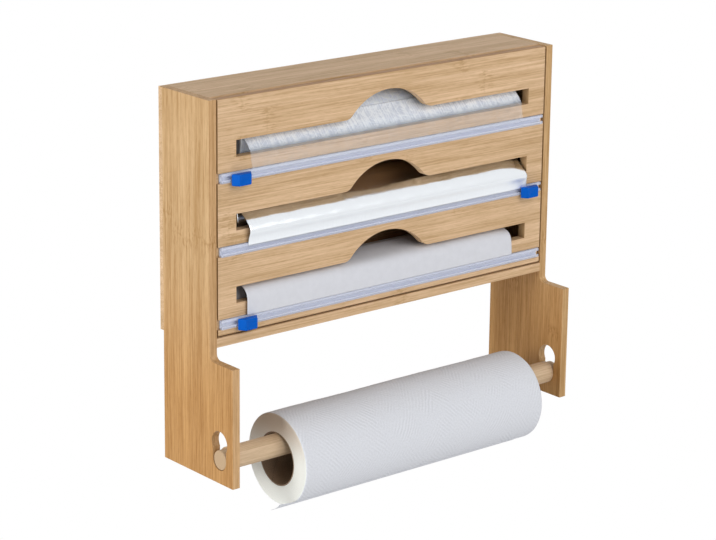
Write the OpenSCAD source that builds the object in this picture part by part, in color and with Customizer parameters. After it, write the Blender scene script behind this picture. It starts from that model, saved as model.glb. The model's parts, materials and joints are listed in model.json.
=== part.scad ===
// Wall dispenser for film, foil and baking paper, with a towel roll on a rod below.
// Origin: on the wall plane, midway between the two wall screw holes.
// X runs to the right, the front faces -Y, Z runs up. Millimetres.

/* [Case] */
// Overall width of the case, over both side panels
case_w = 365; // [358:1:400]
// Depth of a side panel behind the door's front, up to the back panel
case_d = 62.5; // [61:0.5:75]
// Height of the closed box, top to underside of the bottom board
box_h = 201; // [199:1:215]
// Overall height of a side panel, ear included
side_h = 310; // [304:1:330]
// Thickness of the side panels
panel_t = 7; // [6:0.5:10]
// Thickness of the top board
top_t = 7; // [6:0.5:9]
// Thickness of the bottom board
bottom_t = 7.5; // [6:0.5:9]
// Thickness of the two shelves
shelf_t = 6; // [6:0.5:7]
// Thickness of the back panel
back_t = 4.5; // [3:0.5:6]
// Diameter of the dowels that join the boards to the side panels
dowel_d = 4; // [3:0.5:4.5]
// Length of a dowel
dowel_l = 16; // [12:1:24]
// Depth of a dowel in the side panel
dowel_seat = 4.5; // [3:0.5:5]

/* [Ears] */
// How far an ear stands forward of the case
ear_reach = 30; // [26:1:40]
// Drop from the case's underside to the ear's top edge
ear_drop = 9.5; // [6:0.5:14]
// Radius of the hollow corner between the case and the ear
ear_fillet = 5; // [2:0.5:8]

/* [Front door] */
// Thickness of the door
door_t = 8; // [7.5:0.5:10]
// Gap between the door and each side panel
door_side_gap = 1.4; // [0.6:0.1:2]
// Drop of the door's top edge below the case's top
door_top_drop = 0.5; // [0:0.1:1.5]
// Gap between the door and the bottom board
door_foot_gap = 1.2; // [0.8:0.1:2]
// Drop of the hinge axis below the door's top edge
hinge_drop = 4.5; // [4:0.25:6]
// Radius of the door's eased long edges
door_ease = 1.5; // [0.5:0.25:2]
// Diameter of the two hinge pins
hinge_pin_d = 3; // [2:0.5:4]
// Depth of a hinge pin in the side panel
pin_seat = 4.5; // [3:0.5:5]
// Depth of a hinge pin in the door
pin_reach = 8; // [5:1:14]
// Diameter of the catch magnets in the lower shelf
magnet_d = 5; // [4:0.5:5]
// Length of a catch magnet
magnet_l = 4; // [3:0.5:8]
// Diameter of the steel catch plates in the door
plate_d = 9; // [7:0.5:12]
// Thickness of a catch plate
plate_t = 1.2; // [0.8:0.1:2]
// Distance between the two catches
catch_span = 300; // [240:5:310]

/* [Dispensing slots] */
// Distance from a slot's end to the door's side
slot_end = 18.1; // [14:0.1:19]
// Height of a slot
slot_h = 13.6; // [12:0.2:15]
// Drop from the case's top to the first slot's top edge
slot_drop = 34.8; // [33:0.2:37]
// Drop from the last slot's top edge to the case's underside
slot_foot = 47; // [46:0.2:49]
// Radius of the finger arc over a slot
arc_r = 52; // [44:1:60]
// Wood between a finger arc and the track above it
arc_land = 6.3; // [5.5:0.1:12]
// Rounding where the arc runs into the slot
arc_foot_r = 10; // [2:0.5:14]

/* [Cutters] */
// Drop from a slot's top edge to its track's top edge
track_drop = 24.8; // [23:0.2:26]
// Height of a track
track_h = 8.1; // [7.5:0.1:9]
// Depth of a track, front to back
track_d = 4.1; // [3.8:0.1:5]
// Distance from the door's edge to a track's end
track_inset = 2.5; // [1:0.5:10]
// Wall of a track
track_wall = 0.9; // [0.7:0.1:1]
// Width of the slit along the track's front
track_slit = 3; // [2.6:0.1:3.4]
// Depth of the track's groove in the door
groove_d = 2.6; // [2:0.1:3]
// Thickness of the tape under a track
tape_t = 0.3; // [0.2:0.1:0.5]
// Width of the tape under a track
tape_w = 6.5; // [4:0.5:7]
// Length of a cutter's base
slider_base = 19; // [16:0.5:24]
// Length of a cutter's front face
slider_nose = 12.4; // [10:0.2:15]
// Height of a cutter
slider_h = 9.6; // [9:0.2:11]
// Drop of a cutter's middle below the track's middle
slider_sag = 1.7; // [1:0.1:1.8]
// Reach of a cutter forward of the door
slider_reach = 9; // [8:0.5:11]
// Room under a cutter for the sheet
sheet_room = 1.2; // [1:0.1:1.6]
// Thickness of a cutter's blade
blade_t = 0.5; // [0.4:0.1:0.8]
// Distance from the first cutter's middle to its track's left end
slider_1_in = 18; // [13:1:160]
// Distance from the second cutter's middle to its track's right end
slider_2_in = 15; // [13:1:160]
// Distance from the third cutter's middle to its track's left end
slider_3_in = 24; // [13:1:160]

/* [Rolls in the box] */
// Diameter of the cling film roll
film_d = 48; // [40:1:49]
// How much narrower the cling film is than its slot
film_room = 22; // [12:1:32]
// Place of the film's middle across the case
film_x = 2.5; // [-5:0.5:5]
// Diameter of the foil roll
foil_d = 40; // [36:1:44]
// How much narrower the foil is than its slot
foil_room = 12; // [10:1:22]
// Place of the foil's middle across the case
foil_x = 4; // [-4:0.5:4]
// Diameter of the baking paper roll
paper_d = 39; // [36:1:46]
// How much narrower the baking paper is than its slot
paper_room = 26; // [10:1:32]
// Place of the paper's middle across the case
paper_x = -4; // [-5:0.5:5]
// Outer diameter of the card cores
core_d = 30; // [26:1:34]
// Wall of the card cores
core_wall = 1.5; // [1:0.1:2]
// How far a core stands out of each end of its roll
core_proud = 3; // [1:0.5:6]
// Gap between a roll and the door
roll_gap = 4; // [3:0.5:5]
// Thickness of the loose sheets
sheet_t = 0.3; // [0.2:0.05:0.4]
// How far the film stands forward of the door
film_bulge = 0.9; // [0.8:0.1:2]
// How far the foil stands forward of the door
foil_bulge = 4.8; // [3:0.1:6]
// How far the paper stands forward of the door
paper_bulge = 2.4; // [1:0.1:4]

/* [Towel holder] */
// Diameter of the rod
rod_d = 19; // [17:0.5:20]
// Diameter of the rod's turned ends
tenon_d = 16.4; // [14:0.2:16.6]
// Place of the rod forward of the case's front
rod_ahead = 12.5; // [12:0.5:16]
// Height of the rod's seat above the ear's foot
seat_rise = 19.8; // [16:0.2:30]
// Width of the keyhole's seat
seat_d = 17.4; // [17:0.2:18]
// Diameter of the keyhole's entry, above the seat
entry_d = 20.5; // [20.5:0.1:22]
// Lift from the seat to the entry
rod_lift = 14; // [12:0.5:16]
// Diameter of the towel roll
towel_d = 77; // [70:1:90]
// Width of the towel roll
towel_w = 260; // [220:1:280]
// Place of the towel roll's middle along the rod
towel_x = 5; // [-20:1:20]
// Bore of the towel roll's core
towel_bore = 43.4; // [38:0.2:48]
// Wall of the towel roll's core
towel_wall = 1; // [0.8:0.1:2]
// Length of the towel's loose end
tail_l = 14; // [8:1:30]
// How far the towel's loose end has slid to the left
tail_slide = 16; // [0:1:18]

/* [Wall fixing] */
// Drop from the case's top to the wall screw holes
hang_drop = 24; // [18:1:40]
// Distance between the wall screw holes
hang_span = 280; // [200:1:300]
// Diameter of a wall screw hole
hang_d = 5; // [4:0.5:6]
// Diameter of the screws that hold the back panel
screw_d = 2.4; // [2:0.2:3]
// Length of those screws
screw_l = 16; // [12:1:20]
// Diameter of their heads
screw_head_d = 5; // [4:0.5:6]

/* [Hidden] */
$fn = 64;
slip = 0.05;              // running and gluing clearance, per side
rest_gap = 0.3;           // clearance under pieces that lie loose
past = 1;                 // how far a cut runs past a face
dowel_inset = 12;         // from a board's edge to the middle of its dowel
shelf_rise = 1.5;         // how far a shelf's top stands above the lower edge of the track in front
crest_drop = 1;           // how far below the slot's lip a sheet stands out furthest
lead_off = 8;             // length of the curve's handle where a sheet leaves its roll
lead_over = 7;            // length of the curve's handle where it comes over the lip
lead_crest = 0.4;         // handle below the crest, as a share of the fall
lead_foot = 0.7;          // handle above the sheet's end, as a share of the fall
foot_gap = 0.35;          // play of a cutter's foot in its track
blade_hold = 3;           // how deep a blade sits in its cutter
tail_start = -110;        // where the towel's loose end leaves the roll, in degrees from the back
tail_fall = 0.06;         // how fast it falls away, as a share of its length
NO_BAYS = 3;
SHEET_STEPS = 10;
TAIL_STEPS = 6;

top_z = hang_drop;
front_y = -(case_d + back_t);
inner_w = case_w - 2 * panel_t;
under_z = top_z - box_h;
floor_z = under_z + bottom_t;
ear_y = front_y - ear_reach;
ear_z = under_z - ear_drop;

door_w = inner_w - 2 * door_side_gap;
slot_w = door_w - 2 * slot_end;
track_l = door_w - 2 * track_inset;
door_z1 = top_z - door_top_drop;
door_z0 = floor_z + door_foot_gap;
door_back = front_y + door_t;
hinge_y = front_y + door_t / 2;
hinge_z = door_z1 - hinge_drop;
// The top board keeps clear of the circle that the door's upper corner sweeps
corner_in = norm([door_t / 2 - door_ease, hinge_drop - door_ease]);
top_y = hinge_y + corner_in + door_ease + 2 * rest_gap;
shelf_y = door_back + rest_gap;
back_y = -back_t;

bay_pitch = (box_h - slot_drop - slot_foot) / (NO_BAYS - 1);      // from one slot to the next
arc_h = bay_pitch - track_drop - track_h - arc_land;              // height of an arc above its slot
function slot_z(i) = top_z - slot_drop - i * bay_pitch;          // top edge of slot i
function lip_z(i) = slot_z(i) - slot_h;                           // bottom edge of slot i
function track_z(i) = slot_z(i) - track_drop - track_h / 2;       // middle of track i
// A shelf's top lies just under the track of the bay above it
function shelf_z(i) = track_z(i) - track_h / 2 + shelf_rise;
function seat_z(i) = i < NO_BAYS - 1 ? shelf_z(i) : floor_z;

roll_dias = [film_d, foil_d, paper_d];
roll_widths = [for (room = [film_room, foil_room, paper_room]) slot_w - room];
roll_places = [film_x, foil_x, paper_x];
bulges = [film_bulge, foil_bulge, paper_bulge];
foot_rises = [0, 0, 2.3];        // how far above the blade's line each sheet was torn off
leave_angles = [150, 128, 122];  // where each sheet leaves its roll, from the back over the top
slider_places = [slider_1_in - track_l / 2, track_l / 2 - slider_2_in, slider_3_in - track_l / 2];
function roll_y(i) = door_back + roll_gap + roll_dias[i] / 2;
function roll_z(i) = seat_z(i) + rest_gap + roll_dias[i] / 2;

track_front = front_y - (track_d - groove_d + tape_t);
sheet_y = track_front - sheet_room / 2;
slider_back = track_front - sheet_room;
slider_front = front_y - slider_reach;

rod_y = front_y - rod_ahead;
keyhole_z = top_z - side_h + seat_rise;
rod_z = keyhole_z - seat_d / 2 + tenon_d / 2 + rest_gap;
towel_z = rod_z + rod_d / 2 + rest_gap - towel_bore / 2;

BAMBOO = [0.86, 0.69, 0.48];
BAMBOO_END = [0.80, 0.61, 0.40];
STEEL = [0.72, 0.73, 0.75];
CLEAR = [0.80, 0.83, 0.92, 0.6];
BLUE = [0.02, 0.25, 0.80];
CARD = [0.66, 0.52, 0.38];
WHITE = [0.92, 0.92, 0.93];

// Extrudes an outline drawn in Y and Z along X, from x0
module along_x(x0, length) {
    translate([x0, 0, 0]) rotate([90, 0, 90]) linear_extrude(length) children();
}

// Extrudes an outline drawn in X and Z along Y, from y0 backwards
module along_y(y0, length) {
    translate([0, y0 + length, 0]) rotate([90, 0, 0]) linear_extrude(length) children();
}

// A round bar along X
module bar(d, x0, length, y, z) {
    translate([x0, y, z]) rotate([0, 90, 0]) cylinder(d = d, h = length);
}

// A box given by its two corners
module block(low, high) {
    translate(low) cube(high - low);
}

// A tube along X
module tube(d_out, d_in, x_mid, length, y, z) {
    difference() {
        bar(d_out, x_mid - length / 2, length, y, z);
        bar(d_in, x_mid - length / 2 - past, length + 2 * past, y, z);
    }
}

// A rectangle from low to high with its four corners rounded
module eased_rect(low, high, r) {
    difference() {
        translate(low) square(high - low);
        for (sx = [0, 1], sy = [0, 1]) {
            corner = [sx ? high.x : low.x, sy ? high.y : low.y];
            turn = [sx ? -1 : 1, sy ? -1 : 1];
            translate(corner) scale(turn) difference() {
                translate([-past, -past]) square(r + past);
                translate([r, r]) circle(r);
            }
        }
    }
}

// Dowels of one board, at both ends: places in Y, height in Z, with a radial clearance
module dowel_row(ys, z, grow) {
    for (side = [-1, 1], y = ys) {
        x_out = side * (inner_w / 2 + dowel_seat + grow);
        x_in = side * (inner_w / 2 + dowel_seat - dowel_l - grow);
        bar(dowel_d + 2 * grow, min(x_out, x_in), abs(x_out - x_in), y, z);
    }
}

top_mid_z = top_z - top_t / 2;
bottom_mid_z = floor_z - bottom_t / 2;
function dowel_ys(y0) = [y0 + dowel_inset, back_y - dowel_inset];

// All the dowels, or the holes for them
module dowel_set(grow) {
    dowel_row(dowel_ys(top_y), top_mid_z, grow);
    dowel_row(dowel_ys(front_y), bottom_mid_z, grow);
    for (i = [0 : NO_BAYS - 2]) dowel_row(dowel_ys(shelf_y), shelf_z(i) - shelf_t / 2, grow);
}

// The two hinge pins, or their holes
module pin_set(grow) {
    for (side = [-1, 1]) {
        x_out = side * (inner_w / 2 + pin_seat + grow);
        x_in = side * (door_w / 2 - pin_reach - grow);
        bar(hinge_pin_d + 2 * grow, min(x_out, x_in), abs(x_out - x_in), hinge_y, hinge_z);
    }
}

// Countersunk screws through the back panel into the side panels, one a bay, or their holes
module screw_set(grow) {
    for (side = [-1, 1], i = [0 : NO_BAYS - 1]) {
        head_h = (screw_head_d - screw_d) / 2;
        translate([side * (case_w - panel_t) / 2, 0, slot_z(i)]) rotate([90, 0, 0]) {
            cylinder(d = screw_d + 2 * grow, h = screw_l + grow);
            cylinder(d1 = screw_head_d + 2 * grow, d2 = screw_d + 2 * grow, h = head_h);
        }
    }
}

// Keyhole through both ears, wide at the top, narrow at the seat
module keyhole_outline() {
    translate([rod_y, keyhole_z]) circle(d = seat_d);
    translate([rod_y, keyhole_z + rod_lift]) circle(d = entry_d);
    translate([rod_y - seat_d / 2, keyhole_z]) square([seat_d, rod_lift]);
}

module side_panel_outline() {
    difference() {
        union() {
            translate([front_y, top_z - side_h]) square([case_d, side_h]);
            translate([ear_y, top_z - side_h]) square([ear_reach + past, ear_z - top_z + side_h]);
            translate([front_y - ear_fillet, ear_z - past]) difference() {
                square([ear_fillet + past, ear_fillet + past]);
                translate([0, ear_fillet + past]) circle(ear_fillet);
            }
        }
        keyhole_outline();
    }
}

module side_panel(side) {
    color(BAMBOO) difference() {
        along_x(side * (case_w - panel_t) / 2 - panel_t / 2, panel_t) side_panel_outline();
        dowel_set(slip);
        pin_set(slip);
        screw_set(slip);
    }
}

module left_side_panel() { side_panel(-1); }
module right_side_panel() { side_panel(1); }

// A board between the side panels, from y0 to the back panel
module board(y0, z0, thickness) {
    color(BAMBOO) difference() {
        block([-inner_w / 2, y0, z0], [inner_w / 2, back_y, z0 + thickness]);
        dowel_set(slip);
    }
}

module top_board() { board(top_y, top_z - top_t, top_t); }
module bottom_board() { board(front_y, under_z, bottom_t); }
module upper_shelf() { board(shelf_y, shelf_z(0) - shelf_t, shelf_t); }

module lower_shelf() {
    color(BAMBOO) difference() {
        board(shelf_y, shelf_z(1) - shelf_t, shelf_t);
        catch_pair(magnet_d + 2 * slip, shelf_y - past, magnet_l + slip + past);
    }
}

module back_panel() {
    color(BAMBOO) difference() {
        block([-case_w / 2, back_y, under_z], [case_w / 2, 0, top_z]);
        screw_set(slip);
        for (side = [-1, 1]) translate([side * hang_span / 2, past, 0]) rotate([90, 0, 0])
            cylinder(d = hang_d, h = back_t + 2 * past);
    }
}

module case_dowels() { color(BAMBOO_END) dowel_set(0); }

module back_screws() {
    arm = screw_head_d * 0.6;
    slit = screw_head_d * 0.16;
    depth = screw_head_d * 0.2;
    color(STEEL) difference() {
        screw_set(0);
        for (side = [-1, 1], i = [0 : NO_BAYS - 1])
            translate([side * (case_w - panel_t) / 2, 0, slot_z(i)]) {
                cube([arm, 2 * depth, slit], center = true);
                cube([slit, 2 * depth, arm], center = true);
            }
    }
}

// A pair of round pieces along Y, left and right, at the lower shelf's height
module catch_pair(d, y0, length) {
    for (side = [-1, 1]) translate([side * catch_span / 2, y0 + length, shelf_z(1) - shelf_t / 2])
        rotate([90, 0, 0]) cylinder(d = d, h = length);
}

module catch_magnets() { color(STEEL) catch_pair(magnet_d, shelf_y, magnet_l); }
module catch_plates() { color(STEEL) catch_pair(plate_d, door_back - plate_t, plate_t); }

// A dispensing slot with its finger arc and the rounded feet of the arc
module slot_outline(i) {
    z = slot_z(i);
    reach = arc_r + arc_foot_r;
    foot_x = sqrt(reach * reach - (reach - arc_h) * (reach - arc_h));
    touch_x = foot_x * arc_r / reach;
    touch_z = z + arc_foot_r - arc_foot_r * (reach - arc_h) / reach;
    translate([-slot_w / 2, z - slot_h]) square([slot_w, slot_h]);
    intersection() {
        translate([0, z + arc_h - arc_r]) circle(arc_r);
        translate([-arc_r, z - past]) square([2 * arc_r, arc_h + 2 * past]);
    }
    for (side = [-1, 1]) difference() {
        polygon([
            [0, z - past], [side * foot_x, z - past], [side * foot_x, z], [side * touch_x, touch_z], [0, z]
        ]);
        translate([side * foot_x, z + arc_foot_r]) circle(arc_foot_r);
    }
}

module front_door() {
    color(BAMBOO) difference() {
        along_x(-door_w / 2, door_w) eased_rect([front_y, door_z0], [door_back, door_z1], door_ease);
        for (i = [0 : NO_BAYS - 1]) {
            along_y(front_y - past, door_t + 2 * past) slot_outline(i);
            block([-case_w / 2, front_y - past, track_z(i) - track_h / 2 - slip],
                [case_w / 2, front_y + groove_d, track_z(i) + track_h / 2 + slip]);
        }
        pin_set(slip);
        catch_pair(plate_d + 2 * slip, door_back - plate_t - slip, plate_t + slip + past);
    }
}

module hinge_pins() { color(STEEL) pin_set(0); }

module track_tape(i) {
    color(WHITE) block([-track_l / 2, front_y + groove_d - tape_t, track_z(i) - tape_w / 2],
        [track_l / 2, front_y + groove_d, track_z(i) + tape_w / 2]);
}

module track_tape_1() { track_tape(0); }
module track_tape_2() { track_tape(1); }
module track_tape_3() { track_tape(2); }

// Clear channel with two lips that hold the cutter's foot
module cutter_track(i) {
    color(CLEAR) along_x(-track_l / 2, track_l) translate([track_front, track_z(i)]) difference() {
        translate([0, -track_h / 2]) square([track_d, track_h]);
        translate([track_wall, track_wall - track_h / 2])
            square([track_d - 2 * track_wall, track_h - 2 * track_wall]);
        translate([-past, -track_slit / 2]) square([track_d / 2, track_slit]);
    }
}

module cutter_track_1() { cutter_track(0); }
module cutter_track_2() { cutter_track(1); }
module cutter_track_3() { cutter_track(2); }

neck_l = slider_nose * 0.65;      // length of the cutter's neck and foot along the track
blade_l = slider_nose * 1.1;      // point to point
blade_in = slider_back - blade_hold;
blade_out = track_front + track_wall;

// Plan of a blade: pointed at both ends, so that it cuts either way
function blade_plan() = [
    [-blade_l / 2, track_front - sheet_room / 2], [-neck_l / 2, blade_out], [neck_l / 2, blade_out],
    [blade_l / 2, track_front - sheet_room / 2], [neck_l / 2, blade_in], [-neck_l / 2, blade_in]
];

module cutter_blade(i) {
    color(STEEL) translate([slider_places[i], 0, track_z(i) - blade_t / 2])
        linear_extrude(blade_t) polygon(blade_plan());
}

module cutter_blade_1() { cutter_blade(0); }
module cutter_blade_2() { cutter_blade(1); }
module cutter_blade_3() { cutter_blade(2); }

// A cutter: tapered grip, neck through the slit, foot inside the track, slit for the blade
module cutter_slider(i) {
    foot_y0 = track_front + track_wall + foot_gap;
    foot_y1 = track_front + track_d - track_wall - foot_gap;
    foot_h = track_h - 2 * track_wall - 2 * foot_gap;
    neck_h = track_slit - 2 * foot_gap;
    mid_z = track_z(i) - slider_sag;
    color(BLUE) translate([slider_places[i], 0, 0]) difference() {
        union() {
            translate([0, 0, mid_z - slider_h / 2]) linear_extrude(slider_h) polygon([
                [-slider_base / 2, slider_back], [-slider_nose / 2, slider_front],
                [slider_nose / 2, slider_front], [slider_base / 2, slider_back]
            ]);
            block([-neck_l / 2, slider_back - past, track_z(i) - neck_h / 2],
                [neck_l / 2, foot_y1, track_z(i) + neck_h / 2]);
            block([-neck_l / 2, foot_y0, track_z(i) - foot_h / 2],
                [neck_l / 2, foot_y1, track_z(i) + foot_h / 2]);
        }
        block([-blade_l / 2 - slip, blade_in - slip, track_z(i) - blade_t / 2 - slip],
            [blade_l / 2 + slip, blade_out + slip, track_z(i) + blade_t / 2 + slip]);
    }
}

module cutter_slider_1() { cutter_slider(0); }
module cutter_slider_2() { cutter_slider(1); }
module cutter_slider_3() { cutter_slider(2); }

module wound_roll(i) {
    tube(roll_dias[i], core_d + 2 * slip, roll_places[i], roll_widths[i], roll_y(i), roll_z(i));
}

module card_core(i) {
    color(CARD) tube(core_d, core_d - 2 * core_wall, roll_places[i], roll_widths[i] + 2 * core_proud,
        roll_y(i), roll_z(i));
}

// Point on a cubic curve with end points a and d and handles b and c
function curve_point(a, b, c, d, t) =
    pow(1 - t, 3) * a + 3 * t * pow(1 - t, 2) * b + 3 * t * t * (1 - t) * c + t * t * t * d;

// Path of a sheet in Y and Z: off its roll, over the slot's lip, down the door to the blade's line
function sheet_path(i) =
    let (angle = leave_angles[i], r = roll_dias[i] / 2 + rest_gap + sheet_t)
    let (off = [roll_y(i), roll_z(i)] + r * [cos(angle), sin(angle)], run = [-sin(angle), cos(angle)])
    let (crest = [front_y - bulges[i], lip_z(i) - crest_drop])
    let (foot = [sheet_y, track_z(i) + track_slit / 2 + rest_gap + foot_rises[i]], fall = crest.y - foot.y)
    concat(
        [for (k = [0 : SHEET_STEPS]) curve_point(off, off + lead_off * run, crest + [0, lead_over], crest,
            k / SHEET_STEPS)],
        [for (k = [1 : SHEET_STEPS]) curve_point(crest, crest - [0, fall * lead_crest],
            foot + [0, fall * lead_foot], foot, k / SHEET_STEPS)]
    );

// Unit normal of a path at point k
function path_normal(p, k) =
    let (step = p[min(k + 1, len(p) - 1)] - p[max(k - 1, 0)])
    [-step.y, step.x] / norm(step);

// Outline of a thin sheet that follows a path
module sheet_outline(p, thickness) {
    last = len(p) - 1;
    polygon(concat(
        [for (k = [0 : last]) p[k] + path_normal(p, k) * thickness / 2],
        [for (k = [last : -1 : 0]) p[k] - path_normal(p, k) * thickness / 2]
    ));
}

module drawn_sheet(i) {
    along_x(roll_places[i] - roll_widths[i] / 2, roll_widths[i]) sheet_outline(sheet_path(i), sheet_t);
}

module film_roll() { color(CLEAR) wound_roll(0); }
module film_core() { card_core(0); }
module film_sheet() { color(CLEAR) drawn_sheet(0); }
module foil_roll() { color(STEEL) wound_roll(1); }
module foil_core() { card_core(1); }
module foil_sheet() { color(STEEL) drawn_sheet(1); }
module paper_roll() { color(WHITE) wound_roll(2); }
module paper_core() { card_core(2); }
module paper_sheet() { color(WHITE) drawn_sheet(2); }

// Rod between the ears, with a turned end in each keyhole
module towel_rod() {
    shoulder = inner_w - 2 * rest_gap;
    tip = case_w - 2 * rest_gap;
    color(BAMBOO_END) {
        bar(rod_d, -shoulder / 2, shoulder, rod_y, rod_z);
        bar(tenon_d, -tip / 2, tip, rod_y, rod_z);
    }
}

towel_core_d = towel_bore + 2 * towel_wall;

module towel_roll() {
    color(WHITE) tube(towel_d, towel_core_d + 2 * slip, towel_x, towel_w, rod_y, towel_z);
}

module towel_core() { color(CARD) tube(towel_core_d, towel_bore, towel_x, towel_w, rod_y, towel_z); }

tail_r = towel_d / 2 + rest_gap + sheet_t;

// Loose end of the towel: follows the roll, then falls away from it towards the front
function tail_point(k) =
    let (angle = tail_start - k * tail_l / tail_r * 180 / PI)
    [rod_y, towel_z] + (tail_r + tail_fall * k * k * tail_l) * [cos(angle), sin(angle)];

module towel_tail() {
    color(WHITE) along_x(towel_x - towel_w / 2 - tail_slide, towel_w)
        sheet_outline([for (k = [0 : TAIL_STEPS]) tail_point(k / TAIL_STEPS)], sheet_t);
}

left_side_panel();
right_side_panel();
top_board();
bottom_board();
upper_shelf();
lower_shelf();
back_panel();
case_dowels();
back_screws();
front_door();
hinge_pins();
catch_magnets();
catch_plates();
track_tape_1();
track_tape_2();
track_tape_3();
cutter_track_1();
cutter_track_2();
cutter_track_3();
cutter_slider_1();
cutter_slider_2();
cutter_slider_3();
cutter_blade_1();
cutter_blade_2();
cutter_blade_3();
film_roll();
film_core();
film_sheet();
foil_roll();
foil_core();
foil_sheet();
paper_roll();
paper_core();
paper_sheet();
towel_rod();
towel_roll();
towel_core();
towel_tail();
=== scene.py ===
"""Looks for a wall-held bamboo dispenser: film, foil and baking paper in the box, a towel roll below.

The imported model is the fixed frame. Wood, rolls, sheets, rails and cutters are built here around it, in
metres, in the frame's own axes: X to the right, the front faces -Y, Z up.
"""

from __future__ import annotations

import json
import logging
import math
from dataclasses import dataclass
from enum import Enum
from typing import Any, Callable

import bmesh
import bpy
import numpy as np
from mathutils import Matrix, Vector

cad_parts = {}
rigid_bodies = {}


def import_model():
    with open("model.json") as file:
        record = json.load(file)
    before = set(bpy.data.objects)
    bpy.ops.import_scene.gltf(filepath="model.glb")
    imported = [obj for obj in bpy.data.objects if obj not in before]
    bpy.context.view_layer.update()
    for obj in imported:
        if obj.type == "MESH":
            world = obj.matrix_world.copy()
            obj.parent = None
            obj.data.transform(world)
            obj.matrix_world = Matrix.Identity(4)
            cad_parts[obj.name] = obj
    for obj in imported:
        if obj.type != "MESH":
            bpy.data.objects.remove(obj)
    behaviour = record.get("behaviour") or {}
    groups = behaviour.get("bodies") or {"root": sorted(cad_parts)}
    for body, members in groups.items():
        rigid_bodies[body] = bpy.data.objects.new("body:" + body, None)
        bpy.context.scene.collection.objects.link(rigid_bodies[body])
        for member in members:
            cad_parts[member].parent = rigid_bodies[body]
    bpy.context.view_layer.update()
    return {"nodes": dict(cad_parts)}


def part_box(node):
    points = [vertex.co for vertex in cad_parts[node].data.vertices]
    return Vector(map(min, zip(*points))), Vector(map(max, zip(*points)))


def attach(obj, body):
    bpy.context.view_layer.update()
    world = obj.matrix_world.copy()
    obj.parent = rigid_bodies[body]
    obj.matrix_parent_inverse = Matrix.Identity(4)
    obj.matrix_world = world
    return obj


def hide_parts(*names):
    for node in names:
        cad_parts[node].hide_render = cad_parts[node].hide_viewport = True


LOG = logging.getLogger("dispenser")
Array = np.ndarray
Colour = tuple[float, float, float, float]
Socket = bpy.types.NodeSocket
Piece = bpy.types.Object

MM = 0.001
SHARP = math.radians(35)
PHOTO_W, PHOTO_H = 716, 540


def screen(red: int, green: int, blue: int) -> Colour:
    """Turns an 8-bit screen colour into a linear one.

    Args:
        red: Red, 0 to 255.
        green: Green, 0 to 255.
        blue: Blue, 0 to 255.

    Returns:
        The linear colour, opaque.
    """
    level = np.array((red, green, blue)) / 255.0
    linear = np.where(level <= 0.04045, level / 12.92, ((level + 0.055) / 1.055) ** 2.4)
    return (float(linear[0]), float(linear[1]), float(linear[2]), 1.0)


class Axis(Enum):
    """An axis of the frame, by its place in a vector."""

    X = 0
    Y = 1
    Z = 2


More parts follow.
